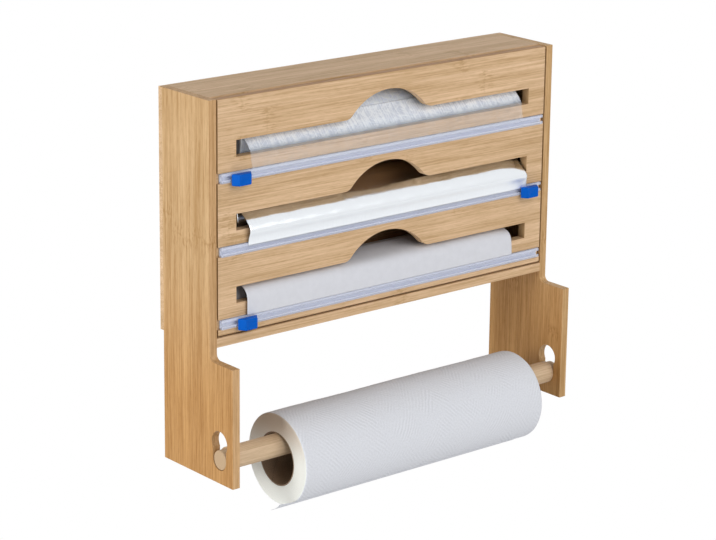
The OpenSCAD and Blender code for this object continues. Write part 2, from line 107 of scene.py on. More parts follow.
class Graph:
    """The node tree of a material or of the world, with short ways to add what a finish needs."""

    def __init__(self, owner: bpy.types.Material | bpy.types.World) -> None:
        """Turns on the owner's nodes and finds its shader.

        Args:
            owner: The material or the world.
        """
        owner.use_nodes = True
        self.nodes, self.links = owner.node_tree.nodes, owner.node_tree.links
        self.shader = next(n for n in self.nodes if n.type in ("BSDF_PRINCIPLED", "BACKGROUND"))

    def feed(self, socket: Socket, value: Any) -> None:
        """Links a socket to another, or sets its value.

        Args:
            socket: The input to feed.
            value: A socket to link, or a plain value.
        """
        if isinstance(value, bpy.types.NodeSocket):
            self.links.new(value, socket)
        else:
            socket.default_value = value

    def set(self, **values: Any) -> None:
        """Sets or links the shader's inputs, with _ for a space in their names."""
        for key, value in values.items():
            self.feed(self.shader.inputs[key.replace("_", " ")], value)

    def add(self, kind: str, inputs: dict[str | int, Any], **settings: Any) -> bpy.types.Node:
        """Adds a node.

        Args:
            kind: The node's type.
            inputs: Values or links, by the input's name or place.
            **settings: The node's own settings.

        Returns:
            The node.
        """
        node = self.nodes.new(kind)
        for key, value in settings.items():
            setattr(node, key, value)
        for key, value in inputs.items():
            self.feed(node.inputs[key], value)
        return node

    def calc(self, operation: str, *values: Any) -> Socket:
        """Returns the result of a math node's operation on one to three values."""
        return self.add("ShaderNodeMath", dict(enumerate(values)), operation=operation).outputs[0]

    def remap(self, value: Any, low: float, high: float, to_low: float = 0.0, to_high: float = 1.0) -> Socket:
        """Returns a value carried from one range to another, with smooth ends."""
        inputs = dict(enumerate((value, low, high, to_low, to_high)))
        return self.add("ShaderNodeMapRange", inputs, interpolation_type="SMOOTHSTEP").outputs[0]

    def blend(self, share: Any, first: Any, second: Any, mode: str = "MIX") -> Socket:
        """Returns two colours mixed, with a share of the second."""
        inputs = {0: share, 6: first, 7: second}
        return self.add("ShaderNodeMix", inputs, data_type="RGBA", blend_type=mode).outputs[2]

    def parts(self, output: str = "Object") -> tuple[Socket, Socket, Socket]:
        """Splits a coordinate of the piece.

        Args:
            output: Object for its own coordinates, UV for its surface places, Normal for its facing.

        Returns:
            The three parts.
        """
        coord = self.add("ShaderNodeTexCoord", {})
        split = self.add("ShaderNodeSeparateXYZ", {"Vector": coord.outputs[output]})
        return split.outputs[0], split.outputs[1], split.outputs[2]

    def join(self, first: Any, second: Any, third: Any = 0.0) -> Socket:
        """Returns a vector of three values."""
        return self.add("ShaderNodeCombineXYZ", {"X": first, "Y": second, "Z": third}).outputs[0]

    def scaled(self, parts: tuple[Any, ...], scales: tuple[float, ...]) -> Socket:
        """Returns a vector of two or three parts, each times its scale."""
        return self.join(*(self.calc("MULTIPLY", part, scale) for part, scale in zip(parts, scales)))

    def noise(self, vector: Socket, detail: float = 2.0, scale: float = 1.0) -> Socket:
        """Returns soft noise at a place."""
        inputs = {"Vector": vector, "Scale": scale, "Detail": detail}
        return self.add("ShaderNodeTexNoise", inputs).outputs[0]

    def chance(self, value: Any) -> Socket:
        """Returns a random number from 0 to 1 that belongs to a value."""
        return self.add("ShaderNodeTexWhiteNoise", {"W": value}, noise_dimensions="1D").outputs["Value"]

    def seen(self) -> Socket:
        """Returns 1 for what the camera sees, straight, mirrored or through glass, and 0 for light."""
        path = self.add("ShaderNodeLightPath", {}).outputs
        seen = self.calc("MAXIMUM", path["Is Camera Ray"], path["Is Glossy Ray"])
        return self.calc("MAXIMUM", seen, path["Is Transmission Ray"])

    def bump(self, height: Socket, depth: float) -> None:
        """Raises the surface by a height from 0 to 1, times a depth in metres."""
        node = self.add("ShaderNodeBump", {"Height": height, "Distance": depth})
        self.set(Normal=node.outputs[0])


@dataclass(frozen=True)
class Finish:
    """A surface finish: its name, its main colour, its roughness and how much it shines."""

    name: str
    colour: Colour
    roughness: float = 0.5
    shine: float = 0.5

    def material(self) -> bpy.types.Material:
        """Returns the finish's material, made at first use."""
        name = f"{self.name}_finish"
        material = bpy.data.materials.get(name)
        if material is None:
            material = bpy.data.materials.new(name)
            graph = Graph(material)
            graph.set(Base_Color=self.colour, Roughness=self.roughness, Specular_IOR_Level=self.shine)
            self.draw(graph)
        return material

    def dress(self, *pieces: Piece) -> None:
        """Gives pieces this finish.

        Args:
            *pieces: The objects to dress.
        """
        for piece in pieces:
            piece.data.materials.clear()
            piece.data.materials.append(self.material())

    def dimmed(self, share: float) -> Colour:
        """Returns the main colour times a share."""
        return (self.colour[0] * share, self.colour[1] * share, self.colour[2] * share, 1.0)

    def draw(self, graph: Graph) -> None:
        """Adds the finish's own nodes."""
        raise NotImplementedError


@dataclass(frozen=True)
class Bamboo(Finish):
    """Laminated bamboo: strips side by side, fibres along them, joint marks across them.

    It may take painted shade by height, its narrow edges their own painted shade; its cut ends are darkened
    end grain.
    """

    shine: float = 0.25
    deep: Colour = (0.5, 0.3, 0.12, 1.0)
    grain: Axis = Axis.X
    across: Axis = Axis.Z
    seed: float = 0.0
    strip: float = 18 * MM
    joint_pitch: float = 0.23
    joint_spread: float = 0.6
    joint_shift: float = 0.0
    contrast: float = 1.0
    # Painted shade: a colour multiplied in from one height to another, and the narrow edges' own painted
    # shade
    painted_shade: Colour | None = None
    painted_shade_from: float = -0.08
    painted_shade_to: float = -0.24
    ends: float = 0.0
    edge: Colour | None = None

    def draw(self, graph: Graph) -> None:
        """Strips are the whole part of a place over the strip's width; fibres are stretched noise in each.

        A joint lies where the place along the grain over the pitch, shifted in each strip, passes a half.

        Args:
            graph: The finish's nodes.
        """
        parts = graph.parts()
        along, side = parts[self.grain.value], parts[self.across.value]
        through = 3 - self.grain.value - self.across.value
        depth = parts[through]
        place = graph.calc("ADD", graph.calc("DIVIDE", side, self.strip), self.seed)
        number = graph.calc("FLOOR", place)
        inside = graph.calc("FRACT", place)
        tone = graph.chance(graph.calc("ADD", number, self.seed * 7.3))
        phase = graph.chance(graph.calc("ADD", number, self.seed * 3.1 + 31.7))

        def fibres(length: float, width: float, detail: float) -> Socket:
            """Noise stretched along the grain, different in each strip.

            Args:
                length: Length of a fibre.
                width: Width of a fibre.
                detail: How fine the noise goes.

            Returns:
                The noise, 0 to 1.
            """
            return graph.noise(graph.join(
                graph.calc("MULTIPLY_ADD", along, 1 / length, graph.calc("MULTIPLY", phase, 40.0)),
                graph.calc("MULTIPLY_ADD", side, 1 / width, graph.calc("MULTIPLY", tone, 90.0)),
                graph.calc("MULTIPLY", depth, 1 / width)), detail)

        fine = fibres(0.045, 0.8 * MM, 3.0)
        streak = fibres(0.07, 1.7 * MM, 2.0)
        broad = fibres(0.26, 8 * MM, 2.0)
        fleck = fibres(7 * MM, 1.3 * MM, 2.0)
        wander = graph.noise(graph.join(graph.calc("MULTIPLY", side, 260.0), number), 1.0)
        turn = graph.calc("ADD", graph.calc("DIVIDE", along, self.joint_pitch),
                          graph.calc("MULTIPLY", phase, self.joint_spread))
        turn = graph.calc("MULTIPLY_ADD", wander, 0.03, graph.calc("ADD", turn, self.joint_shift))
        off = graph.calc("ABSOLUTE", graph.calc("SUBTRACT", graph.calc("FRACT", turn), 0.5))
        joint = graph.remap(off, 0.0, 1.5 * MM / self.joint_pitch, 1.0, 0.0)
        knuckle = graph.calc("MULTIPLY", graph.remap(off, 0.0, 14 * MM / self.joint_pitch, 1.0, 0.0),
                             graph.remap(fleck, 0.45, 0.7))
        edge = graph.calc("MINIMUM", inside, graph.calc("SUBTRACT", 1.0, inside))
        glue = graph.remap(edge, 0.0, 0.35 * MM / self.strip, 1.0, 0.0)

        share = graph.calc("MULTIPLY", tone, 0.24 * self.contrast)
        # Each fibre's range, and how much of the deep colour it brings
        figure = ((broad, 0.3, 0.7, 0.28), (streak, 0.36, 0.68, 0.30), (fine, 0.35, 0.68, 0.38),
                  (fleck, 0.42, 0.72, 0.16))
        for field, low, high, weight in figure:
            share = graph.calc("MULTIPLY_ADD", graph.remap(field, low, high), weight * self.contrast, share)
        for field, weight in ((glue, 0.06), (joint, 0.16), (knuckle, 0.50)):
            share = graph.calc("MULTIPLY_ADD", field, weight, share)
        if self.ends:
            cut = graph.calc("ABSOLUTE", graph.parts("Normal")[self.grain.value])
            share = graph.calc("MULTIPLY_ADD", graph.remap(cut, 0.6, 0.95), self.ends, share)
        wood = graph.blend(share, self.colour, self.deep)
        # Painted shade, multiplied in from one height to another; the narrow edges take their own painted
        # shade instead
        if self.painted_shade is not None:
            low = graph.remap(parts[2], self.painted_shade_from, self.painted_shade_to, 0.0, 1.0)
            toned = graph.blend(low, wood, graph.blend(1.0, wood, self.painted_shade, "MULTIPLY"))
            if self.edge is not None:
                flat = graph.calc("ABSOLUTE", graph.parts("Normal")[through])
                rim = graph.blend(1.0, wood, self.edge, "MULTIPLY")
                toned = graph.blend(graph.remap(flat, 0.4, 0.8), rim, toned)
            wood = toned
        graph.set(Base_Color=wood)
        graph.set(Roughness=graph.remap(fine, 0.25, 0.75, self.roughness - 0.06, self.roughness + 0.08))
        height = graph.calc("SUBTRACT", graph.calc("SUBTRACT", 1.0, graph.calc("MULTIPLY", fine, 0.5)), glue)
        graph.bump(height, 0.10 * MM)


@dataclass(frozen=True)
class Moulded(Finish):
    """Moulded plastic: an even colour with a faint cloud and a fine skin."""

    cloud: float = 0.08
    skin: float = 0.02 * MM

    def draw(self, graph: Graph) -> None:
        """The cloud is soft noise in the colour, the skin fine noise in the bump.

        Args:
            graph: The finish's nodes.
        """
        place = graph.join(*graph.parts())
        soft = graph.noise(place, 2.0, 120.0)
        pale = tuple(min(1.0, c + self.cloud) for c in self.colour[:3]) + (1.0,)
        graph.set(Base_Color=graph.blend(graph.remap(soft, 0.35, 0.7), self.colour, pale))
        fine = graph.noise(place, 3.0, 1400.0)
        graph.set(Roughness=graph.remap(fine, 0.3, 0.7, self.roughness - 0.05, self.roughness + 0.06))
        graph.bump(fine, self.skin)


@dataclass(frozen=True)
class ClearRail(Finish):
    """Clear extruded plastic with draw lines along X, milky at its back, where it is taped."""

    line: Colour = (0.80, 0.83, 0.93, 1.0)
    alpha: float = 0.46
    milky: float = 0.84
    front: float = 0.0
    back: float = 1.0

    def draw(self, graph: Graph) -> None:
        """Draw lines are noise that is long in X and short across.

        The plastic clears from its back to its front.

        Args:
            graph: The finish's nodes.
        """
        x, y, z = graph.parts()
        lines = graph.noise(graph.scaled((x, y, z), (4.0, 2500.0, 2500.0)), 2.0)
        bright = graph.blend(graph.remap(lines, 0.3, 0.7), self.colour, self.line)
        graph.set(Base_Color=bright, IOR=1.49)
        graph.set(Alpha=graph.remap(y, self.front, self.back, self.alpha, self.milky))
        graph.set(Roughness=graph.remap(lines, 0.3, 0.7, self.roughness, self.roughness + 0.12))
        graph.bump(lines, 0.03 * MM)


@dataclass(frozen=True)
class Cling(Finish):
    """Stretch film: white where many layers or creases lie, clear between."""

    shade: Colour = (0.5, 0.56, 0.66, 1.0)
    clear: float = 1.0
    creased: float = 1.0
    bunched: float = 0.0
    bunch_end: float = 24 * MM

    def draw(self, graph: Graph) -> None:
        """Stretch lines run along the film; creases are slanting noise, kept near its middle value.

        A sheet may lie bunched, and so whiter, from its roll up to a running length.

        Args:
            graph: The finish's nodes.
        """
        u, v, _ = graph.parts("UV")

        def field(skew: float, length: float, width: float, detail: float = 2.0) -> Socket:
            """Noise in cells of a length across the film and a width along it, slanted by a skew."""
            slope = graph.calc("MULTIPLY_ADD", u, skew, v)
            return graph.noise(graph.scaled((u, slope), (1 / length, 1 / width)), detail)

        def creases(skew: float, length: float, width: float) -> Socket:
            """Thin lines: one less the distance of a noise from its middle."""
            off = graph.calc("ABSOLUTE", graph.calc("SUBTRACT", field(skew, length, width), 0.5))
            return graph.remap(off, 0.0, 0.05, 1.0, 0.0)

        lines = graph.calc("MAXIMUM", creases(0.7, 16 * MM, 9 * MM), creases(-0.5, 24 * MM, 8 * MM))
        stretch = graph.remap(field(0.0, 1.3 * MM, 30 * MM, 3.0), 0.32, 0.68)
        cloud = graph.remap(field(0.3, 14 * MM, 9 * MM, 3.0), 0.32, 0.68)
        tone = graph.calc("MULTIPLY_ADD", stretch, 0.50, graph.calc("MULTIPLY", cloud, 0.22))
        tone = graph.remap(graph.calc("MULTIPLY_ADD", lines, 0.28, tone), 0.0, 0.80)
        graph.set(Base_Color=graph.blend(tone, self.shade, self.colour))
        if self.clear < 1.0:
            alpha = graph.calc("MULTIPLY_ADD", tone, self.creased - self.clear, self.clear)
            white = graph.remap(v, 0.6 * self.bunch_end, self.bunch_end, self.bunched, 0.0)
            layers = graph.calc("MULTIPLY_ADD", tone, 0.25, 0.75)
            graph.set(Alpha=graph.calc("MULTIPLY_ADD", white, layers, alpha))
        graph.bump(tone, 0.14 * MM)


@dataclass(frozen=True)
class Foil(Finish):
    """Bright rolled foil: fine rolling lines and a crumple, duller past a running length."""

    dull: float = 0.0
    dull_from: float = 31 * MM
    dull_to: float = 36 * MM

    def draw(self, graph: Graph) -> None:
        """Rolling lines run along the path, the crumple is soft noise in the bump.

        The foil grows duller between two running lengths from its roll.

        Args:
            graph: The finish's nodes.
        """
        u, v, _ = graph.parts("UV")
        rolled = graph.noise(graph.scaled((u, v), (2600.0, 30.0)), 2.0)
        crumple = graph.noise(graph.scaled((u, v), (70.0, 150.0)), 3.0)
        dull = (self.colour[0] * 0.96, self.colour[1] * 0.96, self.colour[2] * 0.965, 1.0)
        graph.set(Base_Color=graph.blend(graph.remap(rolled, 0.3, 0.7), self.colour, dull), Metallic=1.0)
        rough = graph.remap(rolled, 0.3, 0.7, self.roughness - 0.04, self.roughness + 0.06)
        if self.dull:
            rough = graph.calc("ADD", rough, graph.remap(v, self.dull_from, self.dull_to, 0.0, self.dull))
        graph.set(Roughness=rough)
        graph.bump(graph.calc("MULTIPLY_ADD", rolled, 0.01, crumple), 0.12 * MM)


@dataclass(frozen=True)
class MattPaper(Finish):
    """Coated baking paper: matt, with a cloudy fibre look."""

    def draw(self, graph: Graph) -> None:
        """Fibres are fine noise, the cloud is soft noise.

        Args:
            graph: The finish's nodes.
        """
        u, v, _ = graph.parts("UV")
        place = graph.join(u, v)
        cloud = graph.noise(place, 3.0, 160.0)
        fibre = graph.noise(place, 3.0, 1500.0)
        dim = self.dimmed(0.96)
        graph.set(Base_Color=graph.blend(graph.remap(cloud, 0.25, 0.75), dim, self.colour))
        graph.bump(fibre, 0.03 * MM)


@dataclass(frozen=True)
class Tissue(Finish):
    """Embossed kitchen tissue: two families of slanting ridges that take turns and fade."""

    pitch: float = 2.9 * MM
    slopes: tuple[float, float] = (-1.05, 1.7)
    depth: float = 0.28 * MM

    def draw(self, graph: Graph) -> None:
        """A ridge is a sine of the slanted place over the pitch, wavering with noise.

        Args:
            graph: The finish's nodes.
        """
        u, v, _ = graph.parts("UV")
        place = graph.join(u, v)
        waver = graph.noise(place, 4.0, 34.0)
        turn = graph.remap(graph.noise(place, 1.0, 16.0), 0.42, 0.58)

        def ridges(slope: float) -> Socket:
            """Height of one family of ridges.

            Args:
                slope: How far it runs along the roll for each length round it.

            Returns:
                The height, between minus one and one.
            """
            slanted = graph.calc("MULTIPLY_ADD", u, slope, v)
            slanted = graph.calc("DIVIDE", slanted, math.hypot(1.0, slope))
            slanted = graph.calc("MULTIPLY_ADD", waver, 2.3 * self.pitch, slanted)
            return graph.calc("SINE", graph.calc("MULTIPLY", slanted, math.tau / self.pitch))

        first, second = (ridges(slope) for slope in self.slopes)
        swap = graph.calc("MULTIPLY", graph.calc("SUBTRACT", second, first), turn)
        ridge = graph.calc("ADD", first, swap)
        patch = graph.remap(graph.noise(place, 2.0, 60.0), 0.36, 0.66)
        fibre = graph.noise(place, 4.0, 700.0)
        height = graph.calc("MULTIPLY_ADD", graph.calc("MULTIPLY", ridge, patch), 0.19, 0.25)
        height = graph.calc("MULTIPLY_ADD", fibre, 0.85, height)
        # Darker where the height is low: fibre tone, and painted shade in the emboss's grooves
        dim = self.dimmed(0.86)
        graph.set(Base_Color=graph.blend(graph.remap(height, 0.3, 1.0), dim, self.colour))
        graph.bump(height, self.depth)


@dataclass(frozen=True)
class Card(Finish):
    """Spiral-wound card: slanted plies and flecks."""

    ply: float = 34 * MM

    def draw(self, graph: Graph) -> None:
        """A ply's edge is where the slanted place over the ply's width passes a whole number.

        Args:
            graph: The finish's nodes.
        """
        u, v, _ = graph.parts("UV")
        fleck = graph.noise(graph.join(u, v), 4.0, 900.0)
        turn = graph.calc("FRACT", graph.calc("DIVIDE", graph.calc("MULTIPLY_ADD", v, 0.8, u), self.ply))
        near = graph.calc("MINIMUM", turn, graph.calc("SUBTRACT", 1.0, turn))
        seam = graph.remap(near, 0.0, 0.02, 1.0, 0.0)
        dim = self.dimmed(0.6)
        share = graph.calc("MULTIPLY_ADD", seam, 0.5, graph.remap(fleck, 0.3, 0.7, 0.0, 0.6))
        graph.set(Base_Color=graph.blend(share, self.colour, dim))
        graph.bump(graph.calc("SUBTRACT", fleck, seam), 0.08 * MM)


@dataclass(frozen=True)
class Metal(Finish):
    """Bare or plated steel with fine drawn lines."""

    lines: tuple[float, float, float] = (60.0, 2400.0, 2400.0)

    def draw(self, graph: Graph) -> None:
        """Drawn lines are noise stretched along the piece.

        Args:
            graph: The finish's nodes.
        """
        streak = graph.noise(graph.scaled(graph.parts(), self.lines), 2.0)
        dim = self.dimmed(0.8)
        graph.set(Base_Color=graph.blend(graph.remap(streak, 0.3, 0.7), self.colour, dim), Metallic=1.0)
        graph.set(Roughness=graph.remap(streak, 0.3, 0.7, self.roughness - 0.08, self.roughness + 0.1))
        graph.bump(streak, 0.02 * MM)


@dataclass(frozen=True)
class Layered(Finish):
    """The cut end of a wound roll: fine rings, one for every few layers."""

    centre: tuple[float, float] = (0.0, 0.0)
    painted_bounce: Colour = (0.52, 0.40, 0.29, 1.0)
    pitch: float = 0.7 * MM

    def draw(self, graph: Graph) -> None:
        """A ring is a sine of the distance from the roll's axis over the pitch, wavering with noise.

        The end is painted warmer and darker towards its top: painted reflected light from the wooden ear, and
        painted shade.

        Args:
            graph: The finish's nodes.
        """
        x, y, z = graph.parts()
        back, up = graph.calc("SUBTRACT", y, self.centre[0]), graph.calc("SUBTRACT", z, self.centre[1])
        radius = graph.calc("SQRT", graph.calc("ADD", graph.calc("MULTIPLY", back, back),
                                               graph.calc("MULTIPLY", up, up)))
        waver = graph.noise(graph.join(x, y, z), 2.0, 110.0)
        radius = graph.calc("MULTIPLY_ADD", waver, 2.2 * self.pitch, radius)
        ring = graph.calc("SINE", graph.calc("MULTIPLY", radius, math.tau / self.pitch))
        fibre = graph.noise(graph.join(x, y, z), 4.0, 1800.0)
        height = graph.calc("MULTIPLY_ADD", ring, 0.3, graph.calc("MULTIPLY", fibre, 0.6))
        dim = self.dimmed(0.85)
        layers = graph.blend(graph.remap(height, 0.0, 0.6), dim, self.colour)
        # Painted shade and painted reflected light from the wooden ear, warmer and darker towards the end's
        # top
        graph.set(Base_Color=graph.blend(graph.remap(up, 0.0, 34 * MM, 0.0, 0.7), layers, self.painted_bounce))
        graph.bump(height, 0.2 * MM)


def stand(name: str, data: bpy.types.ID) -> Piece:
    """Stands a mesh, a lamp or a camera in the scene, at the origin.

    Args:
        name: The object's name.
        data: What it shows.

    Returns:
        The object.
    """
    piece = bpy.data.objects.new(name, data)
    bpy.context.scene.collection.objects.link(piece)
    return piece


def new_piece(name: str, points: Array, faces: Array, uv: Array | None = None) -> Piece:
    """Makes an object at the origin from arrays, with doubles merged and closed shells facing out.

    Args:
        name: The piece's name.
        points: Places, one row a point.
        faces: Point numbers, one row a quad.
        uv: Surface places in metres, one for each face's corner.

    Returns:
        The object.
    """
    mesh = bpy.data.meshes.new(name)
    mesh.from_pydata(points.tolist(), [], faces.tolist())
    if uv is not None:
        mesh.uv_layers.new(name="surface").data.foreach_set("uv", uv.astype(np.float32).ravel())
    shell = bmesh.new()
    shell.from_mesh(mesh)
    bmesh.ops.remove_doubles(shell, verts=shell.verts, dist=1e-7)
    if all(edge.is_manifold for edge in shell.edges):
        bmesh.ops.recalc_face_normals(shell, faces=shell.faces)
    shell.to_mesh(mesh)
    shell.free()
    mesh.polygons.foreach_set("use_smooth", np.ones(len(mesh.polygons), bool))
    mesh.set_sharp_from_angle(angle=SHARP)
    return stand(name, mesh)


def grid(rows: int, columns: int, wrap_rows: bool, wrap_columns: bool) -> tuple[Array, Array]:
    """Quads of a grid of points, with the place of every corner before wrapping.

    Args:
        rows: Rows of points.
        columns: Points in a row.
        wrap_rows: Whether the last row meets the first.
        wrap_columns: Whether a row closes on itself.

    Returns:
        Point numbers of each quad, and its corners' rows and columns.
    """
    row, column = np.meshgrid(np.arange(rows if wrap_rows else rows - 1),
                              np.arange(columns if wrap_columns else columns - 1), indexing="ij")
    corner = np.stack([np.stack([row, column], -1), np.stack([row + 1, column], -1),
                       np.stack([row + 1, column + 1], -1), np.stack([row, column + 1], -1)], -2)
    corner = corner.reshape(-1, 4, 2)
    return corner[..., 0] % rows * columns + corner[..., 1] % columns, corner


def revolve(name: str, profile: Array, centre: tuple[float, float], around: int, hollow: bool = True,
            swell: Callable[[Array, Array, Array], Array] | None = None) -> Piece:
    """Carries a profile round an axis along X.

    Point (k, j) is x_k along the axis and r_k + swell(x_k, t_j, r_k) from it, at the angle t_j.

    Args:
        name: The piece's name.
        profile: Rows of (x, radius).
        centre: The axis's Y and Z.
        around: Points in a turn.
        hollow: Whether the profile closes on itself; if not, it starts and ends on the axis.
        swell: Change of radius at a place, an angle and a radius.

    Returns:
        The object, with the profile's running length and the arc as its surface places.
    """
    turn = np.linspace(0.0, math.tau, around, endpoint=False)[None, :]
    x, radius = profile[:, :1] + 0 * turn, profile[:, 1:] + 0 * turn
    if swell is not None:
        radius = radius + swell(x, turn, radius)
    points = np.stack([x, centre[0] + radius * np.cos(turn), centre[1] + radius * np.sin(turn)], -1)
    faces, corner = grid(len(profile), around, hollow, True)
    ring = np.vstack([profile, profile[:1]])
    run = np.concatenate([[0.0], np.cumsum(np.linalg.norm(np.diff(ring, axis=0), axis=1))])
    arc = np.linspace(0.0, math.tau, around + 1) * profile[:, 1].max()
    uv = np.stack([run[corner[..., 0]], arc[corner[..., 1]]], -1)
    return new_piece(name, points.reshape(-1, 3), faces, uv)


def tube_profile(left: float, right: float, bore: float, outer: float, rim: float, faces: int,
                 length: int) -> Array:
    """Profile of a tube with rounded outer rims: left face, rim, outside, rim, right face, bore.

    Args:
        left: X of the left end.
        right: X of the right end.
        bore: Inner radius.
        outer: Outer radius.
        rim: Radius of the rims.
        faces: Points on an end face.
        length: Points along the outside.

    Returns:
        Rows of (x, radius).
    """
    up = np.linspace(bore, outer - rim, faces)
    bend = np.linspace(0.0, math.pi / 2, 5)[1:-1]
    flat = np.linspace(left + rim, right - rim, length)
    curve_x, curve_r = rim * (1 - np.cos(bend)), outer - rim + rim * np.sin(bend)
    x = np.concatenate([np.full(faces, left), left + curve_x, flat, (right - curve_x)[::-1],
                        np.full(faces, right), np.linspace(right, left, length + 2)[1:-1]])
    r = np.concatenate([up, curve_r, np.full(length, outer), curve_r[::-1], up[::-1], np.full(length, bore)])
    return np.stack([x, r], -1)


def ripples(x: Array, turn: Array, seed: int, count: int, waves: int, pitch: float) -> Array:
    """Sum of slanting waves on a cylinder: sin(m t + f x + p), m whole so that a turn closes.

    Args:
        x: Places along the axis.
        turn: Angles.
        seed: Number that fixes the waves.
        count: How many waves.
        waves: Largest number of waves in a turn.
        pitch: Shortest length of a wave along the axis.

    Returns:
        Values of about -1 to 1.
    """
    draw = np.random.default_rng(seed)
    shape = (count,) + (1,) * np.broadcast(x, turn).ndim
    whole = draw.integers(1, waves + 1, count).reshape(shape)
    along = (draw.uniform(-1.0, 1.0, count) * math.tau / pitch).reshape(shape)
    start = draw.uniform(0.0, math.tau, count).reshape(shape)
    return np.sin(whole * turn + along * x + start).sum(0) / math.sqrt(count) / 1.5


def bend(first: Array, second: Array, third: Array, fourth: Array, steps: int) -> Array:
    """Points of a cubic curve with two end points and two handles.

    Args:
        first: Start.
        second: Handle at the start.
        third: Handle at the end.
        fourth: End.
        steps: Points on the curve.

    Returns:
        Rows of places.
    """
    t = np.linspace(0.0, 1.0, steps)[:, None]
    u = 1 - t
    return u ** 3 * first + 3 * t * u ** 2 * second + 3 * t * t * u * third + t ** 3 * fourth


def drape(name: str, path: Array, ends: tuple[float, float], rows: int, columns: int,
          lift: Callable[[Array, Array], Array]) -> Piece:
    """Carries a path in Y and Z along X, and lifts the sheet off it.

    Point (k, j) is the path at the running length s_k, plus its normal there times lift(s_k, x_j).

    Args:
        name: The piece's name.
        path: Rows of (y, z).
        ends: X of the sheet's two side edges.
        rows: Points along the path.
        columns: Points across.
        lift: Distance off the path, at shares of the length and of the width.

    Returns:
        The object, an open sheet.
    """
    run = np.concatenate([[0.0], np.cumsum(np.linalg.norm(np.diff(path, axis=0), axis=1))])
    at = np.linspace(0.0, run[-1], rows)
    line = np.stack([np.interp(at, run, path[:, 0]), np.interp(at, run, path[:, 1])], -1)
    ahead = np.gradient(line, axis=0)
    ahead /= np.linalg.norm(ahead, axis=1, keepdims=True)
    share, place = np.meshgrid(at / run[-1], np.linspace(0.0, 1.0, columns), indexing="ij")
    off = lift(share, place)
    x = ends[0] + (ends[1] - ends[0]) * place
    y = line[:, :1] + ahead[:, 1:] * off
    z = line[:, 1:] - ahead[:, :1] * off
    faces, corner = grid(rows, columns, False, False)
    width = np.linspace(ends[0], ends[1], columns)
    uv = np.stack([width[corner[..., 1]], at[corner[..., 0]]], -1)
    return new_piece(name, np.stack([x, y, z], -1).reshape(-1, 3), faces, uv)


def thicken(piece: Piece, thickness: float) -> None:
    """Gives an open sheet its thickness, half to each side."""
    wall = piece.modifiers.new("wall", "SOLIDIFY")
    wall.thickness, wall.offset = thickness, 0.0


def round_corners(outline: Array, radius: float, steps: int = 4) -> Array:
    """Rounds every corner of a closed outline with a quadratic curve between points radius from it.

    Args:
        outline: Rows of places, in order.
        radius: Distance from a corner at which its curve starts.
        steps: Points on a curve.

    Returns:
        Rows of places.
    """
    before, after = np.roll(outline, 1, axis=0) - outline, np.roll(outline, -1, axis=0) - outline
    before = outline + radius * before / np.linalg.norm(before, axis=1, keepdims=True)
    after = outline + radius * after / np.linalg.norm(after, axis=1, keepdims=True)
    t = np.linspace(0.0, 1.0, steps)[None, :, None]
    curve = (1 - t) ** 2 * before[:, None] + 2 * t * (1 - t) * outline[:, None] + t * t * after[:, None]
    return curve.reshape(-1, 2)


def block(wide: float, up: float, corner: float) -> Array:
    """Returns the outline of a rectangle of two half sizes, its corners rounded."""
    return round_corners(np.array([(-wide, -up), (wide, -up), (wide, up), (-wide, up)]), corner, 6)


def loft(name: str, rings: list[tuple[float, Array]], caps: tuple[float, float], origin: Vector) -> Piece:
    """Joins outlines in X and Z that lie behind each other in Y, closed by a point at each end.

    Args:
        name: The piece's name.
        rings: Depth in Y and outline of each ring, back to front.
        caps: Depth of the closing points, back and front.
        origin: Where the outlines' zero lies.

    Returns:
        The object.
    """
    count = len(rings[0][1])
    flat = [(caps[0], np.zeros((count, 2))), *rings, (caps[1], np.zeros((count, 2)))]
    points = np.stack([np.column_stack([o[:, 0], np.full(count, y), o[:, 1]]) for y, o in flat])
    faces, _ = grid(len(flat), count, False, True)
    return new_piece(name, points.reshape(-1, 3) + np.array(origin), faces)


def eased(name: str, source: Piece, ease: float) -> Piece:
    """Copies a CAD node's solid and eases its edges with a bevel.

    The copy's doubles are merged and its flat triangles joined into whole faces first.

    Args:
        name: The new piece's name.
        source: The CAD node's object.
        ease: Width of the bevel.

    Returns:
        The new object.
    """
    mesh = bpy.data.meshes.new(name)
    solid = bmesh.new()
    solid.from_mesh(source.data)
    bmesh.ops.remove_doubles(solid, verts=solid.verts, dist=1e-6)
    bmesh.ops.dissolve_limit(solid, angle_limit=math.radians(0.5), verts=solid.verts, edges=solid.edges)
    solid.to_mesh(mesh)
    solid.free()
    mesh.polygons.foreach_set("use_smooth", np.ones(len(mesh.polygons), bool))
    piece = stand(name, mesh)
    bevel = piece.modifiers.new("ease", "BEVEL")
    bevel.width, bevel.segments, bevel.limit_method = ease, 3, "ANGLE"
    bevel.angle_limit = math.radians(40)
    bevel.use_clamp_overlap = True
    even = piece.modifiers.new("even", "WEIGHTED_NORMAL")
    even.keep_sharp = True
    return piece


def settle(piece: Piece, body: str, slot: str, finish: Finish, *nodes: str) -> None:
    """Dresses a piece, puts it on its body and hides the nodes it stands for.

    Args:
        piece: The piece.
        body: The CAD body it moves with.
        slot: The record's material slot; not used.
        finish: Its finish.
        *nodes: The CAD nodes it stands for.
    """
    finish.dress(piece)
    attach(piece, body)
    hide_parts(*nodes)
    LOG.info("%s: %d faces, on %s", piece.name, len(piece.data.polygons), body)


def measure_round(node: str) -> tuple[float, float, tuple[float, float], float]:
    """Measures a round CAD node that lies along X.

    Args:
        node: The node's name.

    Returns:
        X of its left and right ends, its axis in Y and Z, and its radius.
    """
    low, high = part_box(node)
    return low.x, high.x, ((low.y + high.y) / 2, (low.z + high.z) / 2), (high.z - low.z) / 2


